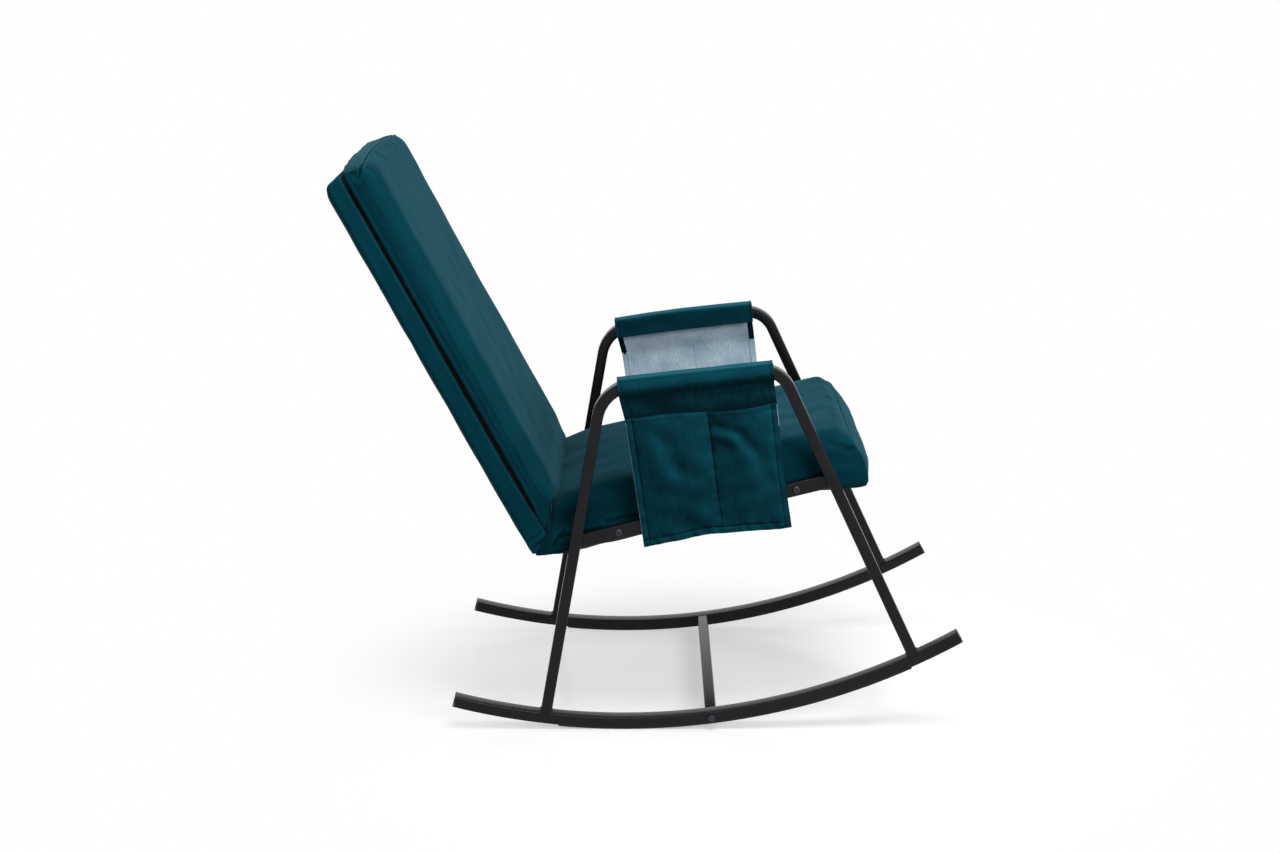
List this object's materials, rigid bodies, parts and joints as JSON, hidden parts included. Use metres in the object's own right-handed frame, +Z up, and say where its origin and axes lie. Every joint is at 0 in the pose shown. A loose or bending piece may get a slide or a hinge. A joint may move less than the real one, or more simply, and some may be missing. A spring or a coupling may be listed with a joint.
{
  "type": "rocking chair",
  "caption": "Rocking chair with bent tube side frames on curved runners, a padded seat and high back, and a hanging pocket organiser over each arm.",
  "frame": {"origin": "on the floor under the centre of the chair's outline", "axes": "+X to the chair's front, +Y to its left, +Z up"},
  "size_m": [1.134, 0.6152, 1.0378],
  "materials": {
    "powder_coat": "satin",
    "black_plastic": "matte",
    "glide_strip": "matte",
    "fastener_steel": "satin",
    "webbing": "woven",
    "velvet": "velvet",
    "organiser_cloth": "velvet"
  },
  "bodies": {
    "chair": {"right_leg_hoop": "powder_coat", "right_runner": "powder_coat", "right_seat_rail": "powder_coat", "right_glide_strip": "glide_strip", "right_rear_plug": "black_plastic", "right_front_plug": "black_plastic", "right_seat_back_member": "powder_coat", "right_rear_seat_bolt": "fastener_steel", "right_front_seat_bolt": "fastener_steel", "right_rear_spacer": "black_plastic", "right_front_spacer": "black_plastic", "right_rear_seat_nut": "fastener_steel", "right_front_seat_nut": "fastener_steel", "right_crossbar_insert": "fastener_steel", "right_crossbar_bolt": "fastener_steel", "right_organiser_sleeve": "organiser_cloth", "left_leg_hoop": "powder_coat", "left_runner": "powder_coat", "left_seat_rail": "powder_coat", "left_glide_strip": "glide_strip", "left_rear_plug": "black_plastic", "left_front_plug": "black_plastic", "left_seat_back_member": "powder_coat", "left_rear_seat_bolt": "fastener_steel", "left_front_seat_bolt": "fastener_steel", "left_rear_spacer": "black_plastic", "left_front_spacer": "black_plastic", "left_rear_seat_nut": "fastener_steel", "left_front_seat_nut": "fastener_steel", "left_crossbar_insert": "fastener_steel", "left_crossbar_bolt": "fastener_steel", "left_organiser_sleeve": "organiser_cloth", "lower_crossbar": "powder_coat", "seat_front_tube": "powder_coat", "seat_rear_tube": "powder_coat", "back_middle_tube": "powder_coat", "back_top_tube": "powder_coat", "seat_strap_1": "webbing", "seat_strap_2": "webbing", "seat_strap_3": "webbing", "seat_strap_4": "webbing", "seat_strap_5": "webbing", "back_strap_1": "webbing", "back_strap_2": "webbing", "back_strap_3": "webbing", "back_strap_4": "webbing", "seat_underside_pad": "velvet", "back_rear_panel": "velvet", "back_cushion": "velvet", "seat_cushion": "velvet"},
    "right_organiser": {"right_organiser_panel": "organiser_cloth", "right_organiser_pockets": "organiser_cloth"},
    "left_organiser": {"left_organiser_panel": "organiser_cloth", "left_organiser_pockets": "organiser_cloth"}
  },
  "joints": [
    {"name": "right_organiser_swing", "type": "hinge", "parent": "chair", "child": "right_organiser", "pos_m": [-0.05865, -0.2941, 0.63369], "axis": [-0.9929, 0, -0.1191], "range_deg": [0, 90]},
    {"name": "left_organiser_swing", "type": "hinge", "parent": "chair", "child": "left_organiser", "pos_m": [-0.06858, 0.2941, 0.6325], "axis": [0.9929, 0, 0.1191], "range_deg": [0, 90]}
  ]
}
